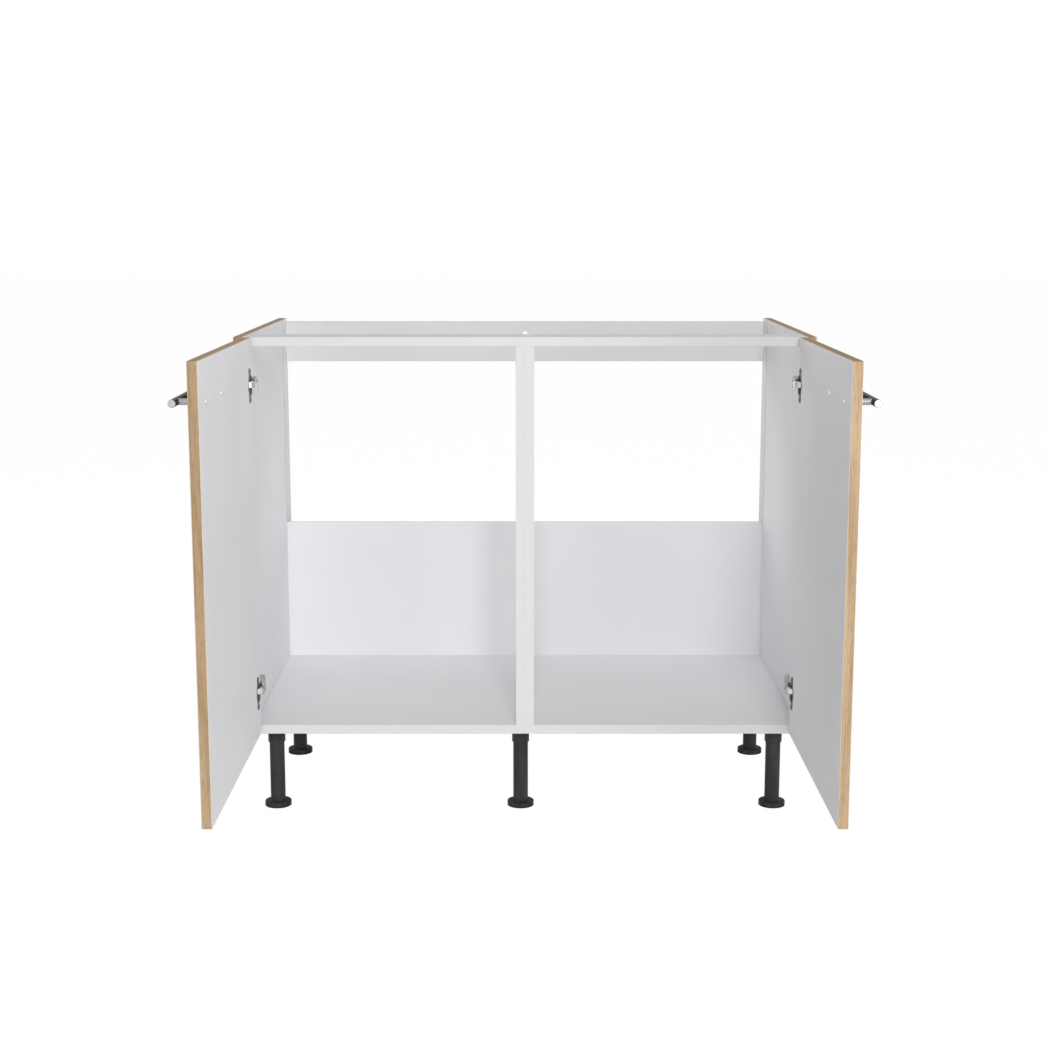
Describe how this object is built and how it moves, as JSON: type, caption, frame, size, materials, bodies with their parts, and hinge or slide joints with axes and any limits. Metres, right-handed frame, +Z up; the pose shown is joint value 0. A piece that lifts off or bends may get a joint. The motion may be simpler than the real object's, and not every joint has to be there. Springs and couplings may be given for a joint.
{
  "type": "sink base cabinet",
  "caption": "Kitchen sink base cabinet with open top and rear, two hinged doors on concealed hinges, bar handles and adjustable feet.",
  "frame": {"origin": "on the floor, under the middle of the whole cabinet with its doors open at 90 degrees", "axes": "+X to the right as seen from the front, +Y to the rear, +Z up; the doors face -Y when closed"},
  "size_m": [1.036, 1.075, 0.854],
  "materials": {
    "oak_decor_board": "oak decor outside and on the edges, white melamine inside",
    "white_melamine_board": "white melamine-faced chipboard with white edge band",
    "white_hardboard": "white lacquered hardboard",
    "beech": "plain turned beech",
    "die_cast_zinc": "bare die-cast zinc",
    "black_plastic": "black moulded plastic, slightly satin",
    "satin_nickel_steel": "satin nickel-plated steel",
    "nickel_plated_steel": "bright nickel-plated steel"
  },
  "bodies": {
    "root": {"side_panel_left": "oak_decor_board", "side_panel_right": "oak_decor_board", "bottom_panel": "white_melamine_board", "front_rail": "white_melamine_board", "rear_rail": "white_melamine_board", "centre_post_left_board": "white_melamine_board", "centre_post_right_board": "white_melamine_board", "back_panel": "white_hardboard", "cam_fasteners": "die_cast_zinc", "cam_bolts": "nickel_plated_steel", "wooden_dowels": "beech", "post_screws": "nickel_plated_steel", "hinge_plates_left": "nickel_plated_steel", "hinge_plates_right": "nickel_plated_steel", "hinge_plate_screws": "nickel_plated_steel", "hinge_arm_pins": "nickel_plated_steel", "hinge_adjusting_screws": "nickel_plated_steel", "foot_socket_front_left": "black_plastic", "foot_socket_front_middle": "black_plastic", "foot_socket_front_right": "black_plastic", "foot_socket_rear_left": "black_plastic", "foot_socket_rear_right": "black_plastic", "leg_tube_front_left": "black_plastic", "leg_tube_front_middle": "black_plastic", "leg_tube_front_right": "black_plastic", "leg_tube_rear_left": "black_plastic", "leg_tube_rear_right": "black_plastic", "hinge_arm_left_upper": "nickel_plated_steel", "hinge_arm_left_lower": "nickel_plated_steel", "hinge_arm_right_upper": "nickel_plated_steel", "hinge_arm_right_lower": "nickel_plated_steel"},
    "outer_links_left": {"hinge_outer_link_left_upper": "nickel_plated_steel", "hinge_outer_link_left_lower": "nickel_plated_steel"},
    "inner_links_left": {"hinge_inner_link_left_upper": "nickel_plated_steel", "hinge_inner_link_left_lower": "nickel_plated_steel"},
    "door_left": {"door_left": "oak_decor_board", "handle_bar_left": "satin_nickel_steel", "handle_posts_left": "satin_nickel_steel", "handle_screws_left": "nickel_plated_steel", "hinge_cup_left_upper": "nickel_plated_steel", "hinge_cup_left_lower": "nickel_plated_steel", "hinge_cup_screws_left": "nickel_plated_steel", "hinge_cup_pins_left": "nickel_plated_steel"},
    "outer_links_right": {"hinge_outer_link_right_upper": "nickel_plated_steel", "hinge_outer_link_right_lower": "nickel_plated_steel"},
    "inner_links_right": {"hinge_inner_link_right_upper": "nickel_plated_steel", "hinge_inner_link_right_lower": "nickel_plated_steel"},
    "door_right": {"door_right": "oak_decor_board", "handle_bar_right": "satin_nickel_steel", "handle_posts_right": "satin_nickel_steel", "handle_screws_right": "nickel_plated_steel", "hinge_cup_right_upper": "nickel_plated_steel", "hinge_cup_right_lower": "nickel_plated_steel", "hinge_cup_screws_right": "nickel_plated_steel", "hinge_cup_pins_right": "nickel_plated_steel"},
    "foot_front_left": {"screw_foot_front_left": "black_plastic"},
    "foot_front_middle": {"screw_foot_front_middle": "black_plastic"},
    "foot_front_right": {"screw_foot_front_right": "black_plastic"},
    "foot_rear_left": {"screw_foot_rear_left": "black_plastic"},
    "foot_rear_right": {"screw_foot_rear_right": "black_plastic"}
  },
  "joints": [
    {"name": "outer_link_swing_left", "type": "hinge", "parent": "root", "child": "outer_links_left", "pos_m": [-0.46522, -0.02043, 0.5], "axis": [0, 0, 1], "range_deg": [-40.05, 6.67]},
    {"name": "door_swing_left", "type": "hinge", "parent": "outer_links_left", "child": "door_left", "pos_m": [-0.4725, -0.0495, 0.5], "axis": [0, 0, 1], "range_deg": [-21.77, 130.15]},
    {"name": "inner_link_swing_left", "type": "hinge", "parent": "root", "child": "inner_links_left", "pos_m": [-0.4638, -0.0394, 0.5], "axis": [0, 0, 1], "range_deg": [-60.26, 10.09]},
    {"name": "outer_link_swing_right", "type": "hinge", "parent": "root", "child": "outer_links_right", "pos_m": [0.46522, -0.02043, 0.5], "axis": [0, 0, -1], "range_deg": [-40.05, 6.67]},
    {"name": "door_swing_right", "type": "hinge", "parent": "outer_links_right", "child": "door_right", "pos_m": [0.4725, -0.0495, 0.5], "axis": [0, 0, -1], "range_deg": [-21.77, 130.15]},
    {"name": "inner_link_swing_right", "type": "hinge", "parent": "root", "child": "inner_links_right", "pos_m": [0.4638, -0.0394, 0.5], "axis": [0, 0, -1], "range_deg": [-60.26, 10.09]},
    {"name": "foot_height_front_left", "type": "slide", "parent": "root", "child": "foot_front_left", "axis": [0, 0, -1], "range_m": [0, 0.02]},
    {"name": "foot_height_front_middle", "type": "slide", "parent": "root", "child": "foot_front_middle", "axis": [0, 0, -1], "range_m": [0, 0.02]},
    {"name": "foot_height_front_right", "type": "slide", "parent": "root", "child": "foot_front_right", "axis": [0, 0, -1], "range_m": [0, 0.02]},
    {"name": "foot_height_rear_left", "type": "slide", "parent": "root", "child": "foot_rear_left", "axis": [0, 0, -1], "range_m": [0, 0.02]},
    {"name": "foot_height_rear_right", "type": "slide", "parent": "root", "child": "foot_rear_right", "axis": [0, 0, -1], "range_m": [0, 0.02]}
  ],
  "couplings": [
    {"joint": "door_swing_left", "follows": "outer_link_swing_left", "ratio": -3.2472},
    {"joint": "inner_link_swing_left", "follows": "outer_link_swing_left", "ratio": 1.5034},
    {"joint": "door_swing_right", "follows": "outer_link_swing_right", "ratio": -3.2472},
    {"joint": "inner_link_swing_right", "follows": "outer_link_swing_right", "ratio": 1.5034}
  ]
}
